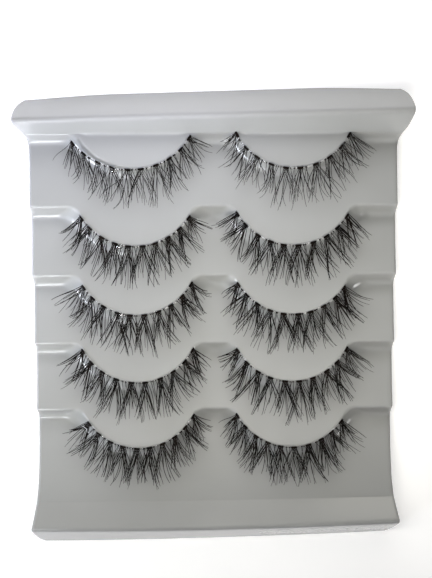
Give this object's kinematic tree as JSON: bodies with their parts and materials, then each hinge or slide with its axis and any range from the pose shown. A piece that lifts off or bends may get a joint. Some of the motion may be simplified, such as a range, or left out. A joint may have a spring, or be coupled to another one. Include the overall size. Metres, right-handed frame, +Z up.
{
  "type": "false eyelash strips in display tray",
  "caption": "Wispy criss-cross false eyelash strips with clear bands and knotted hair clusters, held in pairs on the lobes of a tiered, thermoformed display tray.",
  "frame": {"origin": "middle of the tray's footprint, on the surface that its two end skirts stand on", "axes": "+Z up, out of the tray's face; +Y along the tray towards its upper end rail; +X across it, towards the right-hand column of strips"},
  "size_m": [0.0936, 0.1146, 0.0108],
  "materials": {
    "tray_plastic": "glossy light grey-white thermoformed sheet",
    "clear_band": "clear thin band with small clear glue beads",
    "lash_fibre": "black-brown fine synthetic hair, slightly glossy"
  },
  "bodies": {
    "root": {"tray": "tray_plastic", "lash_band_l1": "clear_band", "lash_band_r1": "clear_band", "lash_band_l2": "clear_band", "lash_band_r2": "clear_band", "lash_band_l3": "clear_band", "lash_band_r3": "clear_band", "lash_band_l4": "clear_band", "lash_band_r4": "clear_band", "lash_band_l5": "clear_band", "lash_band_r5": "clear_band", "lash_fringe_l1": "lash_fibre", "lash_fringe_r1": "lash_fibre", "lash_fringe_l2": "lash_fibre", "lash_fringe_r2": "lash_fibre", "lash_fringe_l3": "lash_fibre", "lash_fringe_r3": "lash_fibre", "lash_fringe_l4": "lash_fibre", "lash_fringe_r4": "lash_fibre", "lash_fringe_l5": "lash_fibre", "lash_fringe_r5": "lash_fibre"}
  },
  "joints": []
}
